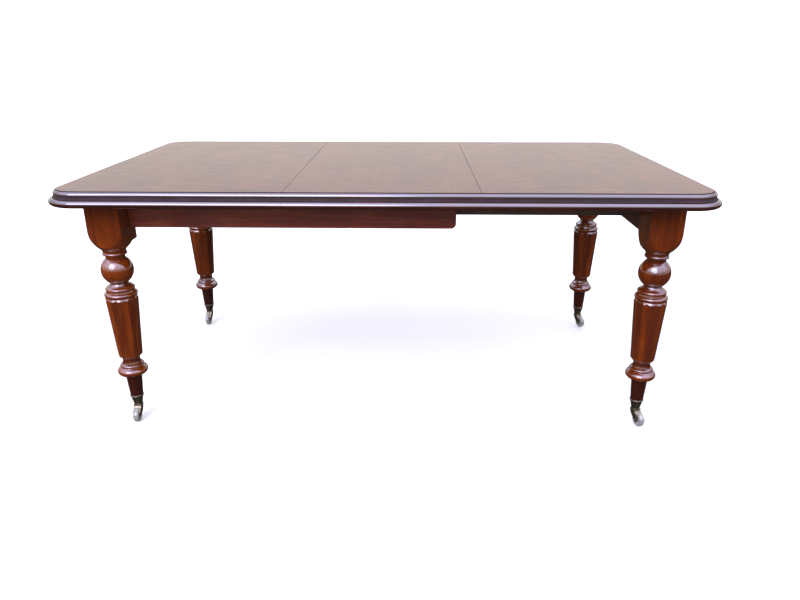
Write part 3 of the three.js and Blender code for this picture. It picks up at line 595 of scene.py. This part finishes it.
def cut_away(piece, cutter):
    """Takes the cutter's shape out of a piece and removes the cutter."""
    boolean = piece.modifiers.new("cut", "BOOLEAN")
    boolean.operation = "DIFFERENCE"
    boolean.object = cutter
    piece.modifiers.move(len(piece.modifiers) - 1, 0)
    bpy.context.view_layer.update()
    # The bevel is off while the cut is made into the mesh, and then eases the edges of the cut as well.
    bevels = [m for m in piece.modifiers if m.type == "BEVEL"]
    for bevel in bevels:
        bevel.show_viewport = False
    cut = bpy.data.meshes.new_from_object(piece.evaluated_get(bpy.context.evaluated_depsgraph_get()))
    piece.modifiers.remove(boolean)
    for bevel in bevels:
        bevel.show_viewport = True
    piece.data = cut
    bpy.data.objects.remove(cutter)


def cutter_from(shape):
    """A loose solid used only to cut, from points in millimetres and faces."""
    points, faces = shape
    mesh = bpy.data.meshes.new("cutter")
    mesh.from_pydata([Vector(p) * MM for p in points], [], faces)
    cutter = bpy.data.objects.new("cutter", mesh)
    bpy.context.scene.collection.objects.link(cutter)
    return cutter


def bore_cutter(radius, start, end):
    """A round cutter along the screw's line."""
    return cutter_from(lathe([(0, start), (radius, start), (radius, end), (0, end)], 32, along_screw))


NUT_RADIUS = 15.7
RUNNING_FIT = 0.3  # clearance round the nut and the screw, and beside the collar
BEYOND = 5  # how far a cutter stands out of what it cuts
low, high = (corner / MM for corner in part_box("slide_tail_rail"))
tail_rail = make("slide_tail_cross_rail", prism(oblong(low.x, low.z, high.x, high.z), low.y, high.y, "y"),
                 [oiled_beech_cross], "moving_half", "slide_tail_rail", arris=2.0)
cut_away(tail_rail, bore_cutter(NUT_RADIUS + RUNNING_FIT, low.x - BEYOND, high.x + BEYOND))

# ---- winding screw, nut and bearing ----
# A square-threaded wrought iron screw under the middle, turned by a loose handle on its squared outer end.
# It runs in a cast iron bearing on the left end rail and in a flanged brass nut in the tail rail.

PITCH = 13
SCREW_RADIUS = 11
BORE_RADIUS = SCREW_RADIUS + 0.4  # of the plates that the screw runs through
THREAD_DEPTH = 2.6
RUN_IN = 2  # length of plain root before the thread starts
ROUND = 40  # points round the screw


def metal(name, shine, dull, rough, scale, dent):
    """A worn metal: two tones in patches of that scale, roughness from lowest to highest, and fine dents."""
    material, tree, shader = start_material(name, {"Metallic": 1.0})
    place = add(tree, "ShaderNodeTexCoord").outputs["Object"]
    patches = add(tree, "ShaderNodeTexNoise", {"Scale": 1 / (scale * MM), "Detail": 4, "Roughness": 0.6},
                  {"Vector": place})
    colour = add(tree, "ShaderNodeValToRGB", {"stops": [(0.4, linear(dull)), (0.62, linear(shine))]},
                 {"Fac": patches.outputs["Fac"]})
    roughness = add(tree, "ShaderNodeMapRange",
                    {"From Min": 0.35, "From Max": 0.65, "To Min": rough[1], "To Max": rough[0]},
                    {"Value": patches.outputs["Fac"]})
    grain = add(tree, "ShaderNodeTexNoise", {"Scale": 1 / (scale / 5 * MM), "Detail": 2}, {"Vector": place})
    bump = add(tree, "ShaderNodeBump", {"Strength": 0.3, "Distance": dent * MM},
               {"Height": grain.outputs["Fac"]})
    tree.links.new(colour.outputs["Color"], shader.inputs["Base Color"])
    tree.links.new(roughness.outputs["Result"], shader.inputs["Roughness"])
    tree.links.new(bump.outputs["Normal"], shader.inputs["Normal"])
    return material


# Wrought iron kept bright by its nut and grey-brown with old grease.
greased_iron = metal("wrought_iron_greased", "#8a8580", "#4d4640", (0.3, 0.55), 14, 0.1)
# Cast iron, japanned black and worn on its edges, with the sand's grain in it.
japanned_iron = metal("cast_iron_japanned", "#3c3835", "#1f1d1c", (0.4, 0.65), 9, 0.3)
# Brass, cast, filed and gone brown in the hollows.
aged_brass = metal("brass_cast_aged", "#b39655", "#6a5428", (0.24, 0.5), 12, 0.08)


def thread(start, end):
    """A square thread of full turns from start; every column of points climbs with the helix."""
    crest, root, points, faces = SCREW_RADIUS, SCREW_RADIUS - THREAD_DEPTH, [], []
    turns = int((end - start) / PITCH) - 1
    # Radius and share of the pitch at the corners of one tooth, whose crests are a little rounded.
    tooth = [(root, 0.04), (crest - 0.3, 0.08), (crest, 0.11), (crest, 0.49), (crest - 0.3, 0.52),
             (root, 0.56)]
    stops = [(radius, (turn + share) * PITCH) for turn in range(turns + 1) for radius, share in tooth]
    for i in range(ROUND):
        angle = 2 * math.pi * i / ROUND
        x, y = math.cos(angle), math.sin(angle)
        points.append(along_screw(x * root, y * root, start))
        points += [along_screw(x * r, y * r, start + RUN_IN + rise + PITCH * i / ROUND) for r, rise in stops]
        points.append(along_screw(x * root, y * root, end))
    column = len(stops) + 2
    for i in range(ROUND - 1):
        for k in range(column - 1):
            a, b = i * column + k, (i + 1) * column + k
            faces.append((a, a + 1, b + 1, b))
    last = (ROUND - 1) * column
    step = len(tooth)
    for k in range(1, column - 1 - step - 1):
        faces.append((last + k, last + k + 1, k + 1 + step, k + step))
    faces.append((last, last + 1, *range(1 + step, -1, -1)))
    faces.append((*range(last + column - 2 - step, last + column), column - 1, column - 2))
    faces.append(tuple(i * column for i in range(ROUND)))
    faces.append(tuple(i * column + column - 1 for i in reversed(range(ROUND))))
    return points, faces


screw_low, screw_high = (corner.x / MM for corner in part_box("winding_screw"))
plate_low, plate_high = (corner.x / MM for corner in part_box("screw_bearing"))
COLLAR_RADIUS = 17
COLLAR_LENGTH = 8
SQUARE = 14  # width of the squared end
SQUARE_LENGTH = 18
square_end = screw_low + SQUARE_LENGTH
collar_start = plate_high + RUNNING_FIT
collar_end = collar_start + COLLAR_LENGTH
journal = [
    (0, square_end), (SCREW_RADIUS - 0.6, square_end),
    (SCREW_RADIUS, square_end + 0.6), (SCREW_RADIUS, collar_start),
    (COLLAR_RADIUS - 0.8, collar_start), (COLLAR_RADIUS, collar_start + 0.8),
    (COLLAR_RADIUS, collar_end - 0.8), (COLLAR_RADIUS - 0.8, collar_end), (0, collar_end),
]
make("screw_journal", lathe(journal, ROUND, along_screw), [greased_iron], "screw",
     "winding_screw")
make("screw_thread", thread(collar_end, screw_high), [greased_iron], "screw", sharp=40)
half = SQUARE / 2
outline = oblong(-half, screw_level - half, half, screw_level + half)
make("screw_square", prism(outline, screw_low, square_end, "x"), [greased_iron], "screw",
     arris=1.2)


def ring_of(inner, outer, start, end, ease):
    """A turned ring with its outer arrises eased, laid along the screw."""
    shell = [(inner, start), (outer - ease, start), (outer, start + ease), (outer, end - ease),
             (outer - ease, end), (inner, end)]
    return lathe(shell, ROUND, along_screw, closed=True)


low, high = (corner.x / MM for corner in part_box("outer_collar"))
make("screw_outer_collar", ring_of(SCREW_RADIUS + RUNNING_FIT, COLLAR_RADIUS, low, high, 1.0),
     [greased_iron], "screw", "outer_collar")

# The escutcheon is turned with a raised boss round the hole, a sunk field and a raised rim.
low, high = (corner.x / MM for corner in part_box("screw_escutcheon"))
BRASS_RIM = 30
escutcheon = [
    (BORE_RADIUS, high), (BORE_RADIUS, low + 0.3), (SCREW_RADIUS + 1, low), (19, low), (20, low + 0.8),
    (BRASS_RIM - 3.5, low + 0.9), (BRASS_RIM - 2.5, low + 0.1), (BRASS_RIM - 1, low + 0.2),
    (BRASS_RIM, low + 1.2), (BRASS_RIM, high),
]
make("brass_escutcheon", lathe(escutcheon, 64, along_screw, closed=True), [aged_brass], "fixed_half",
     "screw_escutcheon")

# The bearing is a cast plate with a barrel that swells into it, through which the screw's journal runs.
BEARING_PLATE = 6
PLATE_BORE = 14
BARREL_RADIUS = 17
FILLET = 5  # between barrel and plate
plate_face = plate_low + BEARING_PLATE
low, high = (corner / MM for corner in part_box("screw_bearing"))
outline = oblong(low.y, low.z, high.y, high.z)
plate = make("bearing_plate", prism(outline, plate_low, plate_face, "x"), [japanned_iron], "fixed_half",
             "screw_bearing", arris=1.5)
cut_away(plate, bore_cutter(PLATE_BORE, plate_low - BEYOND, plate_face + BEYOND))
barrel = [
    (BORE_RADIUS, plate_low + 0.5), (PLATE_BORE - 0.1, plate_low + 0.5), (PLATE_BORE - 0.1, plate_face),
    *arc(BARREL_RADIUS + FILLET, plate_face + FILLET, -FILLET, -FILLET, 90, 0, 6),
    (BARREL_RADIUS, plate_high - 1), (BARREL_RADIUS - 1, plate_high), (BORE_RADIUS, plate_high),
]
make("bearing_barrel", lathe(barrel, ROUND, along_screw, closed=True), [japanned_iron], "fixed_half")

# The nut is turned from a brass casting, with a flange that lies on the tail rail and is screwed to it.
low, high = (corner.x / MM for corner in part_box("screw_nut"))
FLANGE = 6
FLANGE_RADIUS = 26
nut_bore = SCREW_RADIUS + RUNNING_FIT
nut = [
    (nut_bore, high), (nut_bore, low), (NUT_RADIUS - 1, low), (NUT_RADIUS, low + 1),
    (NUT_RADIUS, high - FLANGE), (FLANGE_RADIUS - 0.5, high - FLANGE), (FLANGE_RADIUS, high - FLANGE + 1),
    (FLANGE_RADIUS, high - 1), (FLANGE_RADIUS - 1, high),
]
make("brass_nut", lathe(nut, 48, along_screw, closed=True), [aged_brass], "moving_half",
     "screw_nut")

# ---- wood screws ----
# Slotted iron and brass screws: four through the bearing plate, three through the nut's flange, three
# through the escutcheon, and a pair up through each end of the rail under the slides.


def screw_heads(name, places, axis, sign, radius, material, body):
    """Domed slotted heads at places, facing along sign times an axis, as one piece."""
    points, faces = [], []
    rise = 0.3 * radius
    half_slot = 0.208 * radius
    steps = 24
    at = "xyz".index(axis)
    dome = [(1.0, 0.0), (1.0, 0.25), (0.86, 0.75), (0.6, 0.95), (0.3, 1.0)]
    for turned, (x, y, z) in enumerate(places):
        base = len(points)
        angle = 0.7 + 1.3 * turned
        for share, lift in dome:
            for i in range(steps):
                a = 2 * math.pi * i / steps
                u, v = share * radius * math.cos(a), share * radius * math.sin(a)
                sunk = abs(-u * math.sin(angle) + v * math.cos(angle)) < half_slot and share < 0.9
                local = [u, v]
                local.insert(at, sign * rise * (lift - (0.7 if sunk else 0)))
                points.append((x + local[0], y + local[1], z + local[2]))
        for k in range(len(dome) - 1):
            for i in range(steps):
                j = (i + 1) % steps
                a, b = base + k * steps, base + (k + 1) * steps
                faces.append((a + i, a + j, b + j, b + i))
        faces.append(tuple(base + i for i in reversed(range(steps))))
        faces.append(tuple(base + (len(dome) - 1) * steps + i for i in range(steps)))
    return make(name, (points, faces), [material], body, sharp=25)


PLATE_HOLE = 25  # across and up from the screw's line
NUT_HOLES, ESCUTCHEON_HOLES = 20.5, 23.5  # radii of the circles of screws
places = [(plate_face, y, screw_level + z) for y in (-PLATE_HOLE, PLATE_HOLE)
          for z in (-PLATE_HOLE, PLATE_HOLE)]
screw_heads("bearing_screws", places, "x", 1, 4.2, greased_iron, "fixed_half")
spread = [math.radians(a) for a in (90, 210, 330)]
places = [(high, NUT_HOLES * math.cos(a), screw_level + NUT_HOLES * math.sin(a)) for a in spread]
screw_heads("nut_screws", places, "x", 1, 3.2, aged_brass, "moving_half")
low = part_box("screw_escutcheon")[0].x / MM
places = [(low + 0.85, ESCUTCHEON_HOLES * math.cos(a), screw_level + ESCUTCHEON_HOLES * math.sin(a))
          for a in spread]
screw_heads("escutcheon_screws", places, "x", -1, 2.6, aged_brass, "fixed_half")
low, high = (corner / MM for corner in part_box("apron_cross_rail"))
places = [(x, side * (high.y - 22), low.z) for side in (-1, 1) for x in (low.x + 11, high.x - 11)]
screw_heads("cross_rail_screws", places, "z", -1, 4.5, greased_iron, "fixed_half")

# ---- castors ----
# Cast brass socket castors: a cup driven on the foot, a horn that swivels under it, an iron pin riveted at
# both ends, and a wheel of white glazed stoneware.

TRAIL = 20  # how far the wheel's pin stands back from the swivel
WHEEL_RADIUS = 21
WHEEL_HALF = 7.5  # half the wheel's width
CHEEK = 3.3  # thickness of one cheek
CHEEK_INNER = 8.2  # from the middle to a cheek's inner face
CROWN_LOW, CROWN_HIGH = 46.5, 52.7
HORN_BOSS = 11.5  # radius of the boss over the cheeks
PIVOT = 4
EYE = 6.5  # radius of the cheek round the pin

# White stoneware under a thick clear glaze, crazed and greyed by dirt.
glaze, tree, shader = start_material("stoneware_white_glazed", {
    "IOR": 1.5, "Coat Weight": 0.8, "Coat Roughness": 0.05})
place = add(tree, "ShaderNodeTexCoord").outputs["Object"]
dirt = add(tree, "ShaderNodeTexNoise", {"Scale": 1 / (10 * MM), "Detail": 5, "Roughness": 0.65},
           {"Vector": place})
crazing = add(tree, "ShaderNodeTexVoronoi", {"Scale": 1 / (4 * MM), "feature": "DISTANCE_TO_EDGE"},
              {"Vector": place})
clean = add(tree, "ShaderNodeValToRGB",
            {"stops": [(0.34, linear("#6f6a62")), (0.56, linear("#a09e9a"))]}, {"Fac": dirt.outputs["Fac"]})
line = add(tree, "ShaderNodeMapRange", {"From Max": 0.035, "To Min": 0.35, "To Max": 0.0},
           {"Value": crazing.outputs["Distance"]})
colour = add(tree, "ShaderNodeMixRGB", {"Color2": linear("#6f6658")},
             {"Fac": line.outputs["Result"], "Color1": clean.outputs["Color"]})
rough = add(tree, "ShaderNodeMapRange", {"To Min": 0.35, "To Max": 0.12}, {"Value": dirt.outputs["Fac"]})
tree.links.new(colour.outputs["Color"], shader.inputs["Base Color"])
tree.links.new(rough.outputs["Result"], shader.inputs["Roughness"])

# The castors' brass is duller than the screw's, greyed by floor polish.
castor_brass = metal("brass_cast_castor", "#898069", "#534a3b", (0.36, 0.6), 7, 0.12)
pin_iron = metal("iron_riveted_pin", "#8f8b86", "#4a4744", (0.3, 0.5), 4, 0.05)

# Radius and level from the cup's bottom to its mouth and down the inside.
cup_profile = [
    (0, 43.6), (5.0, 43.6), (6.0, 45.0), (6.0, 46.2), (PIVOT, 46.2), (PIVOT, 53.0), (9.8, 53.0), (11.2, 53.4),
    *arc(11.2, 55.2, 1.6, 1.6, -70, -5, 4), (15.2, 66.0), (18.4, 78.6), (18.8, 79.6),
    *arc(18.7, 82.0, 1.6, 2.3, -72, 78, 10), (18.2, 84.6), (17.1, 84.6), (10.9, 58.0), (0, 58.0),
]
# Half of the wheel's section, from the bore over hub, sunk web and rim to the middle of the tread.
wheel_profile = [
    (2.8, -WHEEL_HALF + 0.6), (4.2, -WHEEL_HALF), (6.0, -WHEEL_HALF), (6.8, -WHEEL_HALF + 0.6),
    (12.4, -WHEEL_HALF + 0.6), (13.4, -WHEEL_HALF),
    *arc(16.4, -3.2, 4.3, 4.3, -88, -22, 8), (WHEEL_RADIUS - 0.1, -1.2),
]
wheel_profile += [(WHEEL_RADIUS, 0)] + [(r, -z) for r, z in reversed(wheel_profile)]
pin_profile = [(0, -13.4), *arc(0, -11.8, 4.5, 1.6, -88, 0, 6), (2.5, -11.8)]
pin_profile += [(r, -z) for r, z in reversed(pin_profile)]


def cheek_outline():
    """One cheek from the side: wide under the crown, swept back to a round eye at the pin."""
    front = through([(TRAIL + EYE, WHEEL_RADIUS + 1), (TRAIL + 4.6, 34), (HORN_BOSS + 1, 44),
                     (HORN_BOSS - 1.2, CROWN_HIGH - 1)], 5)
    back = through([(-HORN_BOSS + 1.2, CROWN_HIGH - 1), (-7.5, 41), (1.5, 28),
                    (TRAIL - EYE * 0.9, WHEEL_RADIUS - EYE * 0.42)], 6)
    return [*arc(TRAIL, WHEEL_RADIUS, EYE, EYE, 210, 360, 14), *front, *back]


for corner in ("front_left", "rear_left", "front_right", "rear_right"):
    low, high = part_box(corner + "_leg")
    cx, cy = (low.x + high.x) / 2 / MM, (low.y + high.y) / 2 / MM
    axle = next(j for j in frame["joints"] if j["name"] == corner + "_roll")["pos_m"]
    turn = math.atan2(axle[1] / MM - cy, axle[0] / MM - cx)

    def upright(x, y, z):
        return (cx + x, cy + y, z)

    def trailing(x, y, z):
        """A point of the castor, which trails along x, turned to where this one has come to rest."""
        return (cx + x * math.cos(turn) - y * math.sin(turn), cy + x * math.sin(turn) + y * math.cos(turn), z)

    def on_axle(x, y, level):
        return trailing(TRAIL + x, level, WHEEL_RADIUS + y)

    body = "fixed_half" if "left" in corner else "moving_half"
    make(corner + "_socket_cup", lathe(cup_profile, 56, upright), [castor_brass], body,
         corner + "_castor_cup")
    points, faces = prism(cheek_outline(), -CHEEK_INNER - CHEEK, CHEEK_INNER + CHEEK, "z")
    horn = make(corner + "_horn", ([trailing(x, y, z) for x, z, y in points], faces), [castor_brass],
                corner + "_castor", corner + "_castor_horn", arris=0.7)
    # The gap between the cheeks, longer than the horn at both ends.
    points, faces = prism(oblong(-30, 0, 60, CROWN_LOW), -CHEEK_INNER, CHEEK_INNER, "z")
    cut_away(horn, cutter_from(([trailing(x, y, z) for x, z, y in points], faces)))
    boss = [(PIVOT + 0.3, CROWN_LOW), (HORN_BOSS - 0.6, CROWN_LOW), (HORN_BOSS, CROWN_LOW + 0.6),
            (HORN_BOSS, CROWN_HIGH - 1.2), (HORN_BOSS - 1.2, CROWN_HIGH), (PIVOT + 0.3, CROWN_HIGH)]
    make(corner + "_horn_boss", lathe(boss, 40, upright, closed=True), [castor_brass], corner + "_castor")
    make(corner + "_pin", lathe(pin_profile, 24, on_axle), [pin_iron], corner + "_castor",
         corner + "_castor_pin")
    make(corner + "_wheel", lathe(wheel_profile, 64, on_axle, closed=True), [glaze], corner + "_wheel",
         corner + "_castor_wheel", sharp=28)

# ---- floor, light and camera ----
# A plain pale studio floor and a white surround, with a soft panel in front and above and a weaker one
# behind. What polish mirrors is a cool window wall in front, so that mouldings and balls carry a highlight.

bpy.ops.mesh.primitive_plane_add(size=60)
floor = bpy.context.object
floor.name = "studio_floor"
floor.visible_glossy = False
floor.visible_diffuse = False
paint, tree, shader = start_material("floor_matt_white", {"Roughness": 0.9, "Specular IOR Level": 0.0})
grain = add(tree, "ShaderNodeTexNoise", {"Scale": 1 / (400 * MM), "Detail": 2})
shade = add(tree, "ShaderNodeValToRGB", {"stops": [(0.3, linear("#f9f9f9")), (0.7, linear("#fcfcfc"))]},
            {"Fac": grain.outputs["Fac"]})
tree.links.new(shade.outputs["Color"], shader.inputs["Base Color"])
floor.data.materials.append(paint)

WALL_LIGHT = 2.3
PANE_LIGHT = 9.0
world = bpy.data.worlds.new("white_surround")
bpy.context.scene.world = world
world.use_nodes = True
sky = world.node_tree
ground = sky.nodes["Background"]
direction = add(sky, "ShaderNodeTexCoord").outputs["Generated"]
axes = add(sky, "ShaderNodeSeparateXYZ", links={"Vector": direction})
share = add(sky, "ShaderNodeMapRange", {"From Min": -1.0, "From Max": 1.0}, {"Value": axes.outputs["Z"]})
# What polish mirrors: a dim floor, a warm white band at the horizon and a cooler, brighter ceiling.
heights = [
    (0.47, (0.05, 0.034, 0.028, 1)), (0.505, (0.93, 0.88, 0.79, 1)), (0.6, (0.95, 0.92, 0.88, 1)),
    (0.7, (0.85, 0.85, 1.1, 1)), (0.78, (1.3, 1.3, 1.8, 1)), (1.0, (2.3, 2.3, 3.3, 1)),
]
dome = add(sky, "ShaderNodeValToRGB", {"stops": heights}, {"Fac": share.outputs["Result"]})
# A tall cool window wall in front, from about 15 degrees up, and its brightest pane to the left.
wall_low = add(sky, "ShaderNodeMapRange", {"From Min": 0.22, "From Max": 0.32}, {"Value": axes.outputs["Z"]})
wall_side = add(sky, "ShaderNodeMapRange", {"From Min": 0.25, "From Max": -0.3}, {"Value": axes.outputs["Y"]})
wall = add(sky, "ShaderNodeMath", {"operation": "MULTIPLY"},
           {0: wall_low.outputs["Result"], 1: wall_side.outputs["Result"]})
pane_aim = Vector((-0.325, -0.8, 0.5)).normalized()
towards = add(sky, "ShaderNodeVectorMath", {"operation": "DOT_PRODUCT", 1: pane_aim}, {0: direction})
pane = add(sky, "ShaderNodeMapRange", {"From Min": 0.92, "From Max": 0.95, "To Max": PANE_LIGHT},
           {"Value": towards.outputs["Value"]})
# Branches before the window break the pane into patches.
branches = add(sky, "ShaderNodeTexNoise", {"Scale": 9.0, "Detail": 3}, {"Vector": direction})
broken = add(sky, "ShaderNodeMapRange", {"From Min": 0.4, "From Max": 0.6, "To Min": 0.1, "To Max": 1.3},
             {"Value": branches.outputs["Fac"]})
patchy = add(sky, "ShaderNodeMath", {"operation": "MULTIPLY"},
             {0: pane.outputs["Result"], 1: broken.outputs["Result"]})
bright = add(sky, "ShaderNodeMath", {"operation": "MULTIPLY_ADD", 1: WALL_LIGHT},
             {0: wall.outputs[0], 2: patchy.outputs[0]})
cool = add(sky, "ShaderNodeVectorMath", {"operation": "SCALE", 0: (0.7, 0.7, 1.0)},
           {"Scale": bright.outputs[0]})
mirrored = add(sky, "ShaderNodeVectorMath", {"operation": "ADD"},
               {0: dome.outputs["Color"], 1: cool.outputs["Vector"]})
# What falls on matt surfaces is even, and dimmer from below.
soft = add(sky, "ShaderNodeMapRange", {"From Min": -0.05, "From Max": 0.05, "To Min": 0.4, "To Max": 1.08},
           {"Value": axes.outputs["Z"]})
ray = add(sky, "ShaderNodeLightPath")
lit = add(sky, "ShaderNodeMixRGB",
          links={"Fac": ray.outputs["Is Diffuse Ray"], "Color1": mirrored.outputs["Vector"],
                 "Color2": soft.outputs["Result"]})
seen = add(sky, "ShaderNodeMixRGB", {"Color2": (1.05, 1.05, 1.05, 1)},
           {"Fac": ray.outputs["Is Camera Ray"], "Color1": lit.outputs["Color"]})
sky.links.new(seen.outputs["Color"], ground.inputs["Color"])


def panel(name, place, aim, width, height, power, colour):
    """A soft rectangular panel at a place, turned to face a point, all in metres."""
    light = bpy.data.lights.new(name, "AREA")
    light.shape = "RECTANGLE"
    light.size, light.size_y = width, height
    light.energy = power
    light.color = colour
    holder = bpy.data.objects.new(name, light)
    holder.location = place
    holder.rotation_euler = (Vector(aim) - Vector(place)).to_track_quat("-Z", "Y").to_euler()
    bpy.context.scene.collection.objects.link(holder)


TABLE_MIDDLE = (0, 0, 0.5)
DAYLIGHT = (0.99, 0.98, 1.0)
panel("front_panel", (-1.6, -4.2, 3.6), TABLE_MIDDLE, 3.5, 2.4, 80, DAYLIGHT)
panel("rear_panel", (0.6, 4.4, 3.4), TABLE_MIDDLE, 4.5, 1.6, 40, DAYLIGHT)

lens = bpy.data.cameras.new("camera")
lens.sensor_width = 36
lens.lens = 29.98
camera = bpy.data.objects.new("camera", lens)
camera.location = (0.0809, -2.2103, 1.0929)
camera.rotation_euler = (math.radians(69.21), 0, math.radians(1.1))
bpy.context.scene.collection.objects.link(camera)
bpy.context.scene.camera = camera
bpy.context.scene.view_settings.view_transform = "Standard"
